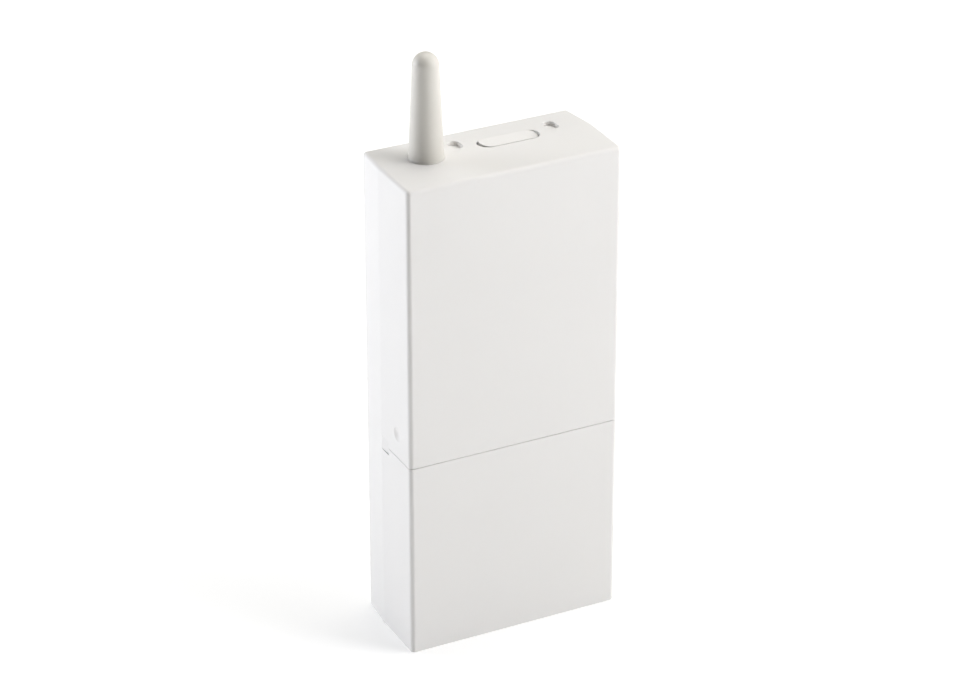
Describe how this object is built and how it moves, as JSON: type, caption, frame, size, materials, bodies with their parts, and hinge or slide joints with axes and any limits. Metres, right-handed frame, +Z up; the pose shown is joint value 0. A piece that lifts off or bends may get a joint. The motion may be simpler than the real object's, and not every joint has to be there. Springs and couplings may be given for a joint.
{
  "type": "gate automation receiver",
  "caption": "Slim wall-mounted radio receiver box with a stub antenna, a split front cover over relays and screw terminals, and a drafted rear base.",
  "frame": {"origin": "middle of the flat bottom face, at half the width and half the depth", "axes": "+X to the right seen from the front, +Y to the back that goes on the wall, +Z up along the height"},
  "size_m": [0.054, 0.025, 0.1455],
  "materials": {
    "housing": "satin moulded, fine eroded grain",
    "antenna": "satin moulded, slightly warm",
    "board": "green solder resist",
    "steel": "zinc plated",
    "brass": "stamped, nickel flashed",
    "copper": "enamelled copper wire",
    "terminal": "green polyamide",
    "relay_case": "blue polyester case",
    "black_epoxy": "moulded epoxy",
    "switch_case": "black nylon",
    "button": "red nylon",
    "lamp": "clear red resin",
    "capacitor": "dark blue sleeve",
    "varistor": "blue epoxy dip",
    "rubber": "pale grey soft rubber"
  },
  "bodies": {
    "housing": {"rear_base": "housing", "upper_cover": "housing", "cable_grommets": "rubber", "antenna_sheath": "antenna", "antenna_coil": "copper", "circuit_board": "board", "board_screws": "steel", "terminal_block_supply": "terminal", "terminal_block_channel_1": "terminal", "terminal_block_channel_2": "terminal", "terminal_clamps": "brass", "terminal_screws": "steel", "program_switch_1": "switch_case", "program_switch_2": "switch_case", "status_lamp_1": "lamp", "status_lamp_2": "lamp", "relay_1": "relay_case", "relay_2": "relay_case", "filter_capacitor_1": "capacitor", "filter_capacitor_2": "capacitor", "radio_board": "board", "radio_shield": "steel", "radio_crystal": "steel", "varistor": "varistor", "bridge_rectifier": "black_epoxy", "microcontroller": "black_epoxy", "voltage_regulator": "black_epoxy", "driver_transistors": "black_epoxy"},
    "terminal_cover": {"terminal_cover": "housing"},
    "program_button_1": {"program_button_1": "button"},
    "program_button_2": {"program_button_2": "button"}
  },
  "joints": [
    {"name": "terminal_cover_pull", "type": "slide", "parent": "housing", "child": "terminal_cover", "axis": [0, -1, 0], "range_m": [0, 0.02]},
    {"name": "program_button_1_press", "type": "slide", "parent": "housing", "child": "program_button_1", "axis": [0, 1, 0], "range_m": [0, 0.00025], "stiffness_N_per_m": 3000},
    {"name": "program_button_2_press", "type": "slide", "parent": "housing", "child": "program_button_2", "axis": [0, 1, 0], "range_m": [0, 0.00025], "stiffness_N_per_m": 3000}
  ]
}
